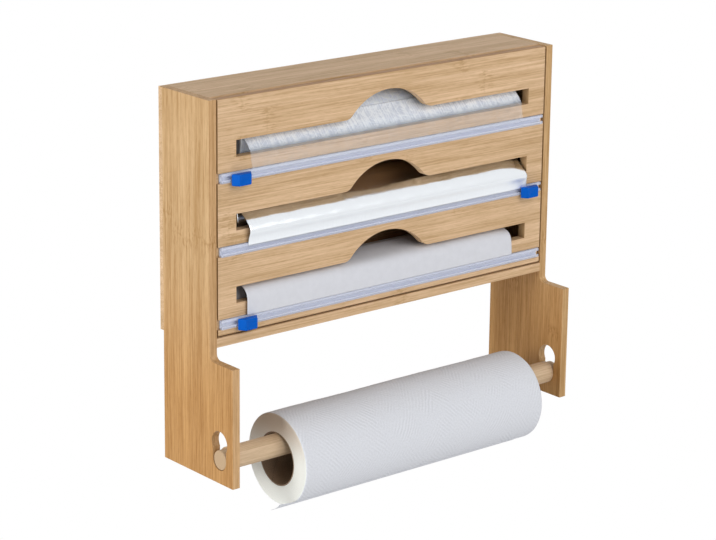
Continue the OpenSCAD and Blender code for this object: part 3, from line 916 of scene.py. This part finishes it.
WOOD = (0.785, 0.55, 0.35, 1.0)
WOOD_DEEP = (0.48, 0.305, 0.15, 1.0)
SIDE = (0.73, 0.50, 0.275, 1.0)
SIDE_DEEP = (0.41, 0.235, 0.09, 1.0)
# Painted shade, multiplied in: darker and warmer from the side panels' middle down to the ears
EAR_PAINTED_SHADE = (0.88, 0.72, 0.49, 1.0)
# Painted shade along the door's top edge, for the shadow line under the top board
DOOR_TOP_PAINTED_SHADE = (0.62, 0.50, 0.37, 1.0)
# Where a panel's joint marks lie, if not at the usual pitch, and the painted shade that its narrow edges take
# instead of the height's painted shade
JOINTS = {"left_side_panel": {"joint_pitch": 0.30, "joint_spread": 0.08, "joint_shift": -0.27}}
PANEL_EDGE_PAINTED_SHADES = {"left_side_panel": (0.93, 0.87, 0.82, 1.0), "right_side_panel": (1.0, 0.98, 0.94, 1.0)}
# Painted shade: the shelves inside the box are coloured dark for the shade that falls there
SHELF_PAINTED_SHADE = (0.32, 0.16, 0.06, 1.0)
SHELF_PAINTED_SHADE_DEEP = (0.18, 0.075, 0.022, 1.0)
ROD = (0.72, 0.54, 0.365, 1.0)
ROD_DEEP = (0.50, 0.35, 0.21, 1.0)
CARD = Card("raw_card", screen(146, 124, 102), roughness=0.9)
STEEL = Metal("plated_steel", (0.6, 0.61, 0.63, 1.0), roughness=0.35)
BLADE = Metal("blade_steel", (0.72, 0.73, 0.75, 1.0), roughness=0.22)
NICKEL = Metal("magnet_nickel", (0.7, 0.69, 0.66, 1.0), roughness=0.2)
TAPE = Moulded("white_tape", screen(244, 245, 255), roughness=0.7, shine=0.3, cloud=0.03)
BLUE = Moulded("blue_plastic", (0.0, 0.098, 0.50, 1.0), roughness=0.34, shine=0.06, cloud=0.002)
TISSUE = Tissue("embossed_tissue", screen(222, 224, 230), roughness=0.95, shine=0.2)

# The cutter's grip, in millimetres: how far a ring lies ahead of the back, or behind the nose, how far in
# from the sides and from the top, and how round its corners are
GRIP_BACK = ((0.0, 0.5, 0.5, 1.0), (0.25, 0.1, 0.12, 1.1), (0.8, 0.3, 0.0, 1.2))
GRIP_DISH = ((0.05, 1.5, 1.6, 1.0), (0.40, 2.6, 2.7, 0.9))


@dataclass
class BambooCase:
    """Two side panels, top, bottom, two shelves and a back, with the hardware that holds them."""

    nodes: dict[str, Piece]
    ease: float = 0.7 * MM
    # Boards inside the box, coloured dark as painted shade
    inside: tuple[str, ...] = ("upper_shelf", "lower_shelf")

    def build(self) -> None:
        """Builds the eased boards and dresses the hardware."""
        boards = (
            ("left_side_panel", Axis.Z, Axis.Y, 0.35), ("right_side_panel", Axis.Z, Axis.Y, 5.15),
            ("top_board", Axis.X, Axis.Y, 2.6), ("bottom_board", Axis.X, Axis.Y, 8.4),
            ("upper_shelf", Axis.X, Axis.Y, 11.2), ("lower_shelf", Axis.X, Axis.Y, 14.9),
            ("back_panel", Axis.X, Axis.Z, 19.3),
        )
        for name, grain, across, seed in boards:
            pale, deep, painted_shade, strip, contrast = WOOD, WOOD_DEEP, None, 21 * MM, 1.0
            # Side panels take the ears' painted shade, and their edges their own painted shade
            if grain is Axis.Z:
                pale, deep, painted_shade, strip, contrast = SIDE, SIDE_DEEP, EAR_PAINTED_SHADE, 13 * MM, 0.98
            # Shelves inside the box take a dark colour: painted shade
            elif name in self.inside:
                pale, deep = SHELF_PAINTED_SHADE, SHELF_PAINTED_SHADE_DEEP
            finish = Bamboo(f"bamboo_{name}", pale, deep=deep, grain=grain, across=across, seed=seed,
                            strip=strip, contrast=contrast, painted_shade=painted_shade, edge=PANEL_EDGE_PAINTED_SHADES.get(name),
                            **JOINTS.get(name, {}))
            settle(eased(f"{name}_wood", self.nodes[name], self.ease), "case", "bamboo", finish, name)
        dowel = Bamboo("bamboo_dowels", ROD, roughness=0.55, deep=ROD_DEEP, seed=3.0)
        dowel.dress(self.nodes["case_dowels"])
        STEEL.dress(self.nodes["back_screws"], self.nodes["hinge_pins"])
        NICKEL.dress(self.nodes["catch_magnets"])


@dataclass
class SlottedDoor:
    """The hinged front with its three slots, finger arcs and grooves."""

    nodes: dict[str, Piece]
    ease: float = 0.6 * MM

    def build(self) -> None:
        """Builds the eased door, with painted shade along its top edge, and dresses its catch plates."""
        _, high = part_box("front_door")
        # Painted shade along the top edge, for the shadow line in the gap under the top board; the cut ends
        # darker as end grain, and as painted shade in the slots' ends
        finish = Bamboo("bamboo_front_door", WOOD, deep=WOOD_DEEP, seed=6.4, strip=20 * MM, painted_shade=DOOR_TOP_PAINTED_SHADE,
                        painted_shade_from=high.z - self.ease, painted_shade_to=high.z, ends=0.8)
        settle(eased("front_door_wood", self.nodes["front_door"], self.ease), "door", "bamboo", finish,
               "front_door")
        STEEL.dress(self.nodes["catch_plates"])


@dataclass
class CutterRail:
    """One clear rail with its tape, and the blue cutter that runs in it."""

    nodes: dict[str, Piece]
    number: int
    wall: float = 0.9 * MM
    slit: float = 3.0 * MM
    corner: float = 0.22 * MM
    steps: int = 40
    nose: float = 12.4 * MM
    back_gap: float = 1.2 * MM
    height: float = 9.6 * MM
    ease: float = 0.9 * MM
    draft: float = 0.1 * MM
    dish: float = 0.55 * MM
    neck: float = 4.03 * MM
    bite: float = 0.2 * MM
    sink: float = 0.5 * MM
    play: float = 0.35 * MM

    def build(self) -> None:
        """Builds the rail and the cutter, and dresses the tape and the blade."""
        self.build_rail()
        self.build_cutter()
        TAPE.dress(self.nodes[f"track_tape_{self.number}"])
        BLADE.dress(self.nodes[f"cutter_blade_{self.number}"])

    def build_rail(self) -> None:
        """The rail is a channel's outline in Y and Z, its corners rounded, carried along X."""
        low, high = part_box(f"cutter_track_{self.number}")
        middle, lip = (low.z + high.z) / 2, self.slit / 2
        front, inner, back = low.y, low.y + self.wall, high.y - self.wall
        top, roof = high.z, high.z - self.wall
        half = [(front, middle + lip), (front, top), (high.y, top)]
        inside = [(back, roof), (inner, roof), (inner, middle + lip)]
        flip = [(y, 2 * middle - z) for y, z in half[::-1] + inside[::-1]]
        outline = round_corners(np.array(half + flip + inside), self.corner)
        x = np.linspace(low.x, high.x, self.steps)
        points = np.stack([np.column_stack([np.full(len(outline), at), outline]) for at in x])
        faces, _ = grid(len(x), len(outline), False, True)
        rail = new_piece(f"cutter_rail_{self.number}", points.reshape(-1, 3), faces)
        self.close_ends(rail, len(outline))
        finish = ClearRail("clear_rail", screen(217, 223, 243), roughness=0.14, front=inner, back=back)
        settle(rail, "door", "clear_plastic", finish, f"cutter_track_{self.number}")

    def close_ends(self, rail: Piece, count: int) -> None:
        """Fills the rail's two open ends.

        Args:
            rail: The open rail.
            count: Points in its outline.
        """
        shell = bmesh.new()
        shell.from_mesh(rail.data)
        corners = list(shell.verts)
        ends = [shell.faces.new(corners[:count]), shell.faces.new(corners[-count:])]
        bmesh.ops.recalc_face_normals(shell, faces=shell.faces)
        bmesh.ops.triangulate(shell, faces=ends, ngon_method="EAR_CLIP")
        shell.to_mesh(rail.data)
        shell.free()
        rail.data.set_sharp_from_angle(angle=SHARP)

    def grip_rings(self, base: float, back: float, front: float) -> list[tuple[float, Array]]:
        """Outlines of the grip: an eased back, flanks that narrow to the nose, a round edge, a dished face.

        A flank's width and depth run straight from the last ring of the back to the nose; the edge is a
        quarter circle.

        Args:
            base: Half the width at the back.
            back: Depth of the back.
            front: Depth of the nose.

        Returns:
            Depth and outline of each ring, back to front.
        """
        tall, nose, ease = self.height / 2, self.nose / 2, self.ease
        rings = [(back - ahead * MM, block(base - side * MM, tall - top * MM, corner * MM))
                 for ahead, side, top, corner in GRIP_BACK]
        start, wide = back - GRIP_BACK[-1][0] * MM, base - GRIP_BACK[-1][1] * MM
        for part in np.linspace(0.0, 1.0, 6)[1:]:
            flank = block(wide + (nose - wide) * part, tall - self.draft * part, 1.3 * MM)
            rings.append((start + (front + ease - start) * part, flank))
        for angle in np.linspace(0.0, math.pi / 2, 5)[1:]:
            pull = ease * (1 - math.cos(angle))
            edge = block(nose - pull, tall - self.draft - pull, 1.2 * MM)
            rings.append((front + ease * (1 - math.sin(angle)), edge))
        rings += [(front + behind * MM, block(nose - side * MM, tall - top * MM, corner * MM))
                  for behind, side, top, corner in GRIP_DISH]
        return rings + [(front + 0.52 * MM, block(nose * 0.35, tall * 0.3, 0.6 * MM))]

    def build_cutter(self) -> None:
        """Builds the grip, and joins to it the neck that passes the slit and the foot inside the rail."""
        low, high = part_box(f"cutter_slider_{self.number}")
        rail_low, rail_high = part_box(f"cutter_track_{self.number}")
        middle = Vector(((low.x + high.x) / 2, 0.0, (low.z + high.z) / 2))
        back, front = rail_low.y - self.back_gap, low.y
        grip = loft(f"cutter_grip_{self.number}", self.grip_rings((high.x - low.x) / 2, back, front),
                    (back, front + self.dish), middle)

        room = self.wall + self.play
        foot_back, foot_front = rail_high.y - room, rail_low.y + room
        stem = block(self.neck, self.slit / 2 - self.play, 0.3 * MM)
        shoe = block(self.neck, (rail_high.z - rail_low.z) / 2 - room, 0.4 * MM)
        at = Vector((middle.x, 0.0, (rail_low.z + rail_high.z) / 2))
        blocks = (("neck", stem, foot_front + self.bite, back - self.sink),
                  ("foot", shoe, foot_back, foot_front))
        parts = [loft(name, [(rear, outline), (ahead, outline)], (rear, ahead), at)
                 for name, outline, rear, ahead in blocks]
        shell = bmesh.new()
        for part in (grip, *parts):
            shell.from_mesh(part.data)
        shell.to_mesh(grip.data)
        shell.free()
        for part in parts:
            bpy.data.objects.remove(part)
        grip.data.set_sharp_from_angle(angle=SHARP)
        settle(grip, f"cutter_{self.number}", "blue_plastic", BLUE, f"cutter_slider_{self.number}")


@dataclass
class CardCore:
    """The card tube that a roll is wound on."""

    kind: str
    body: str
    centre: tuple[float, float]
    wall: float
    rim: float
    length: int
    around: int
    gap: float = 0.05 * MM

    def radius(self) -> float:
        """Returns the tube's outer radius."""
        return measure_round(f"{self.kind}_core")[3]

    def build(self) -> None:
        """Builds the tube round the roll's axis."""
        left, right, _, radius = measure_round(f"{self.kind}_core")
        profile = tube_profile(left, right, radius - self.wall, radius, self.rim, faces=3, length=self.length)
        tube = revolve(f"{self.kind}_card_core", profile, self.centre, self.around)
        settle(tube, self.body, "card", CARD, f"{self.kind}_core")


@dataclass
class BoxRoll:
    """A roll in the box: its wound body, its card core, and the sheet drawn over the slot's lip.

    The sheet leaves its roll at an angle in degrees, bulges out ahead of the door at the lip's height, and
    lies crumpled; its right corner may curl in.
    """

    kind: str
    number: int
    finish: Finish
    sheet_finish: Finish
    slot: str
    held: str
    leave: float
    bulge: float
    lip: float
    crease: float
    crumple: float
    rim: float = 1.0 * MM
    room: float = 0.6 * MM
    sheet_wall: float = 0.06 * MM
    sheet_gap: float = 0.6 * MM
    lead_off: float = 8 * MM
    lead_over: float = 7 * MM
    curl: float = 0.0

    def build(self) -> None:
        """Builds the roll, the core and the sheet."""
        left, right, centre, outer = measure_round(f"{self.kind}_roll")
        spool = f"{self.kind}_spool"
        core = CardCore(self.kind, spool, centre, wall=1.5 * MM, rim=0.4 * MM, length=12, around=72)

        def swell(x: Array, turn: Array, radius: Array) -> Array:
            """Creases pull the outside in; the bore stays round."""
            waves = ripples(x, turn, seed=40 + self.number, count=14, waves=9, pitch=26 * MM)
            return -self.crease * (waves + 1.2).clip(0.0, 2.4) / 2.4 * (radius > outer - 1.5 * self.rim)

        profile = tube_profile(left, right, core.radius() + core.gap, outer, self.rim, faces=6, length=90)
        roll = revolve(f"{self.kind}_wound", profile, centre, around=144, swell=swell)
        settle(roll, spool, self.slot, self.finish, f"{self.kind}_roll")
        core.build()
        self.build_sheet((left, right), centre, outer)

    def path(self, centre: tuple[float, float], outer: float) -> Array:
        """The sheet's line: off the roll on its tangent, over the lip, down to the blade's line.

        Args:
            centre: The roll's axis in Y and Z.
            outer: The roll's radius.

        Returns:
            Rows of (y, z).
        """
        angle = math.radians(self.leave)
        away = np.array([math.cos(angle), math.sin(angle)])
        ahead = np.array([-away[1], away[0]])
        door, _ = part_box("front_door")
        rail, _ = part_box(f"cutter_track_{self.number}")
        torn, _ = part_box(f"{self.kind}_sheet")
        start = np.array(centre) + (outer + self.room) * away
        crest = np.array([door.y - self.bulge, self.lip - 1 * MM])
        foot = np.array([rail.y - self.sheet_gap, torn.z])
        fall = np.array([0.0, crest[1] - foot[1]])
        over = bend(start, start + self.lead_off * ahead, crest + [0.0, self.lead_over], crest, 40)
        down = bend(crest, crest - 0.4 * fall, foot + 0.7 * fall, foot, 40)
        return np.vstack([over, down[1:]])

    def build_sheet(self, ends: tuple[float, float], centre: tuple[float, float], outer: float) -> None:
        """Builds the loose sheet, crumpled where it is free and smooth at the roll and under the cutter.

        Args:
            ends: X of its side edges.
            centre: The roll's axis in Y and Z.
            outer: The roll's radius.
        """
        path = self.path(centre, outer)
        width = ends[1] - ends[0]

        def lift(share: Array, place: Array) -> Array:
            """Slanting waves, none at the roll and few at the foot, and a right edge that curls in.

            Args:
                share: Shares of the length.
                place: Shares of the width.

            Returns:
                Distances off the path.
            """
            free = np.clip(share / 0.45, 0.0, 1.0) * np.clip((1.0 - share) / 0.3, 0.25, 1.0)
            waves = ripples(place * width, share * 3.0, seed=70 + self.number, count=16, waves=3,
                            pitch=22 * MM)
            edge = np.clip((place - 0.91) / 0.09, 0.0, 1.0) ** 2 * np.sin(math.pi * share) ** 2
            return self.crumple * free * waves.clip(-1.0, 1.0) - self.curl * edge

        sheet = drape(f"{self.kind}_loose_sheet", path, ends, rows=56, columns=240, lift=lift)
        thicken(sheet, self.sheet_wall)
        settle(sheet, "door", self.slot, self.sheet_finish, f"{self.kind}_sheet")


@dataclass
class TowelHolder:
    """The turned rod in the ears' keyholes, and the towel roll that hangs on it."""

    chamfer: float = 0.9 * MM
    ease: float = 0.6 * MM
    shoulder: float = 175.2 * MM
    tenon: float = 8.2 * MM
    rim: float = 1.6 * MM
    tail_at: float = math.radians(-120.5)
    tail_from: float = math.radians(-110)
    tail_length: float = 14 * MM
    tail_gap: float = 0.14 * MM
    tail_droop: float = 1.2 * MM
    tail_wall: float = 0.15 * MM

    def build(self) -> None:
        """Builds the rod, the roll, its core and its loose end."""
        self.build_rod()
        self.build_roll()

    def build_rod(self) -> None:
        """The rod is turned: a tenon with an eased end, a shoulder, and the long round body."""
        _, tip, centre, body = measure_round("towel_rod")
        step, cut, ease = self.shoulder, self.chamfer, self.ease
        left = np.array([
            (-tip, 0.0), (-tip, 0.35 * self.tenon), (-tip, 0.7 * self.tenon), (-tip, self.tenon - cut),
            (-tip + 0.3 * cut, self.tenon - 0.3 * cut), (-tip + cut, self.tenon), (-step, self.tenon),
            (-step, body - ease), (-step + 0.3 * ease, body - 0.3 * ease), (-step + ease, body)])
        along = np.linspace(-step + 4 * MM, step - 4 * MM, 40)
        long = np.column_stack([along, np.full_like(along, body)])
        profile = np.vstack([left, long, left[::-1] * [-1.0, 1.0]])

        def swell(x: Array, turn: Array, radius: Array) -> Array:
            """The lathe leaves the body a hair out of round."""
            waves = ripples(x, turn, seed=11, count=5, waves=3, pitch=120 * MM).clip(-1, 1)
            return -0.10 * MM * (1 + waves) * (radius > self.tenon + ease)

        rod = revolve("towel_rod_turned", profile, centre, around=96, hollow=False, swell=swell)
        finish = Bamboo("bamboo_rod", ROD, roughness=0.55, deep=ROD_DEEP, seed=1.45, strip=30 * MM,
                        joint_pitch=0.31, ends=0.9)
        settle(rod, "rod", "bamboo_rod", finish, "towel_rod")

    def build_roll(self) -> None:
        """The roll is wound slack, so it is a little out of round; its last layer hangs off below."""
        left, right, centre, outer = measure_round("towel_roll")
        core = CardCore("towel", "towel", centre, wall=1.0 * MM, rim=0.3 * MM, length=24, around=96)
        inner = core.radius()

        def slack(x: Array, turn: Array, radius: Array) -> Array:
            """Soft waves pull the outside in, but not under the loose end; the bore stays round.

            Args:
                x: Places along the axis.
                turn: Angles.
                radius: Radii.

            Returns:
                Changes of radius.
            """
            soft = 0.5 + 0.5 * ripples(x, turn, seed=23, count=9, waves=4, pitch=90 * MM).clip(-1, 1)
            fine = 0.5 + 0.5 * ripples(x, turn, seed=29, count=12, waves=40, pitch=16 * MM).clip(-1, 1)
            share = ((radius - inner) / (outer - inner)).clip(0.0, 1.0)
            far = 0.5 - 0.5 * np.cos(turn - self.tail_at)
            return -(0.55 * MM * soft + 0.18 * MM * fine) * share * far

        profile = tube_profile(left, right, inner + core.gap, outer, self.rim, faces=14, length=150)
        roll = revolve("towel_wound", profile, centre, around=220, swell=slack)
        settle(roll, "towel", "towel_paper", TISSUE, "towel_roll")
        layers = Layered("towel_layers", screen(242, 244, 238), roughness=0.95, shine=0.2, centre=centre)
        roll.data.materials.append(layers.material())
        facing = np.zeros(len(roll.data.polygons) * 3, np.float32)
        roll.data.polygons.foreach_get("normal", facing)
        roll.data.polygons.foreach_set("material_index", (np.abs(facing[::3]) > 0.75).astype(np.int32))

        core.build()
        tail_low, tail_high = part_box("towel_tail")
        self.build_tail((tail_low.x, tail_high.x), centre, outer)

    def build_tail(self, ends: tuple[float, float], centre: tuple[float, float], outer: float) -> None:
        """The loose end follows the roll, then falls away from it, most at its left corner.

        Args:
            ends: X of the loose end's two sides.
            centre: The roll's axis in Y and Z.
            outer: The roll's radius.
        """
        out = outer + self.tail_gap
        angle = self.tail_from - np.linspace(0.0, 1.0, 40) * self.tail_length / out
        path = out * np.column_stack([np.cos(angle), np.sin(angle)]) + centre

        def lift(share: Array, place: Array) -> Array:
            """Only the corner that stands past the roll's left end droops."""
            return self.tail_droop * share ** 2 * np.exp(-((place / 0.035) ** 2))

        tail = drape("towel_loose_end", path, ends, rows=24, columns=200, lift=lift)
        thicken(tail, self.tail_wall)
        settle(tail, "towel", "towel_paper", TISSUE, "towel_tail")


@dataclass
class Studio:
    """Camera at the photograph's angle, soft light, and a pale floor."""

    place: tuple[float, float, float] = (-1.2980, -1.5902, 0.4513)
    azimuth: float = 39.57
    elevation: float = 15.26
    roll: float = 0.65
    focal_px: float = 2514.6
    middle_px: tuple[float, float] = (351.3, 211.7)
    aim: tuple[float, float, float] = (0.0, -0.05, -0.14)
    floor_z: float = -0.62
    floor_half: float = 6.0
    floor_colour: Colour = (0.86, 0.86, 0.86, 1.0)
    world_light: float = 0.34
    lamps: tuple[tuple[str, tuple[float, float, float], float, float], ...] = (
        ("front_lamp", (0.2, -2.3, 0.95), 2.4, 40.0), ("left_lamp", (-2.3, -0.1, 0.35), 0.9, 30.0))

    def build(self) -> None:
        """Makes the camera, the lamps, the world and the floor."""
        self.build_camera()
        self.build_world()
        self.build_floor()
        for name, place, size, power in self.lamps:
            self.lamp(name, place, size, power)
        bpy.context.scene.view_settings.view_transform = "Standard"

    def build_camera(self) -> None:
        """Turns the fitted angles into a camera matrix: right, up and back as its columns."""
        az, el, roll = (math.radians(v) for v in (self.azimuth, self.elevation, self.roll))
        back = Vector((-math.sin(az) * math.cos(el), -math.cos(az) * math.cos(el), math.sin(el)))
        right = (-back).cross(Vector((0.0, 0.0, 1.0))).normalized()
        up = right.cross(-back)
        side = right * math.cos(roll) + up * math.sin(roll)
        head = up * math.cos(roll) - right * math.sin(roll)
        data = bpy.data.cameras.new("camera")
        data.sensor_width = 36.0
        data.lens = self.focal_px / PHOTO_W * data.sensor_width
        data.shift_x = 0.5 - self.middle_px[0] / PHOTO_W
        data.shift_y = (self.middle_px[1] - PHOTO_H / 2) / PHOTO_W
        camera = stand("camera", data)
        turn = Matrix((side, head, back)).transposed().to_4x4()
        camera.matrix_world = Matrix.Translation(Vector(self.place)) @ turn
        bpy.context.scene.camera = camera

    def lamp(self, name: str, place: tuple[float, float, float], size: float, power: float) -> None:
        """Adds a square soft lamp that faces the object.

        Args:
            name: The lamp's name.
            place: Where it stands.
            size: Its side.
            power: Its power in watts.
        """
        data = bpy.data.lights.new(name, "AREA")
        data.shape, data.size, data.energy = "SQUARE", size, power
        lamp = stand(name, data)
        lamp.location = place
        lamp.rotation_euler = (Vector(self.aim) - Vector(place)).to_track_quat("-Z", "Y").to_euler()

    def build_world(self) -> None:
        """A white world, dimmer as a light than as a background."""
        world = bpy.data.worlds.new("studio")
        graph = Graph(world)
        strength = graph.remap(graph.seen(), 0.0, 1.0, self.world_light, 1.0)
        graph.set(Color=(1.0, 1.0, 1.0, 1.0), Strength=strength)
        bpy.context.scene.world = world

    def build_floor(self) -> None:
        """A wide pale floor: white to the camera, pale to the light that it throws back."""
        wide = np.linspace(-self.floor_half, self.floor_half, 13)
        x, y = np.meshgrid(wide, wide, indexing="ij")
        faces, _ = grid(len(wide), len(wide), False, False)
        floor = new_piece("floor", np.stack([x, y, np.full_like(x, self.floor_z)], -1).reshape(-1, 3), faces)
        material = bpy.data.materials.new("pale_floor")
        graph = Graph(material)
        graph.set(Base_Color=self.floor_colour, Roughness=0.9)
        glow = graph.add("ShaderNodeEmission", {})
        layers = {0: graph.seen(), 1: graph.shader.outputs[0], 2: glow.outputs[0]}
        mix = graph.add("ShaderNodeMixShader", layers)
        graph.feed(graph.nodes["Material Output"].inputs["Surface"], mix.outputs[0])
        floor.data.materials.append(material)


def main() -> None:
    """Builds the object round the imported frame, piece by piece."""
    logging.basicConfig(level=logging.INFO, format="%(name)s: %(message)s")
    for item in list(bpy.data.objects):
        bpy.data.objects.remove(item)
    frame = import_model()
    nodes = frame["nodes"]
    Studio().build()
    BambooCase(nodes).build()
    SlottedDoor(nodes).build()
    for number in (1, 2, 3):
        CutterRail(nodes, number).build()
    film = Cling("film_roll", screen(240, 248, 255), roughness=0.20, shine=1.0, shade=screen(214, 225, 246))
    film_sheet = Cling("film_sheet", screen(242, 248, 255), roughness=0.16, shine=0.25,
                       shade=screen(230, 239, 254), clear=0.08, creased=0.13, bunched=0.85)
    foil = Foil("bright_foil", (0.83, 0.86, 0.89, 1.0), roughness=0.15)
    foil_sheet = Foil("foil_sheet", foil.colour, roughness=foil.roughness, dull=0.25)
    paper = MattPaper("baking_paper", screen(213, 214, 220), roughness=0.8, shine=0.2)
    rolls = (
        BoxRoll("film", 1, film, film_sheet, "cling_film", held="stretched", leave=150, bulge=0.9 * MM,
                lip=-24.4 * MM, crease=0.5 * MM, crumple=0.15 * MM),
        BoxRoll("foil", 2, foil, foil_sheet, "foil", held="draped", leave=128, bulge=4.8 * MM,
                lip=-84.0 * MM, crease=0.08 * MM, crumple=0.16 * MM, curl=3.6 * MM),
        BoxRoll("paper", 3, paper, paper, "baking_paper", held="draped", leave=96, bulge=2.4 * MM,
                lip=-143.6 * MM, crease=0.05 * MM, crumple=0.12 * MM, lead_off=24 * MM, lead_over=13.5 * MM,
                curl=1.6 * MM),
    )
    for roll in rolls:
        roll.build()
    TowelHolder().build()


if __name__ == "__main__":
    main()
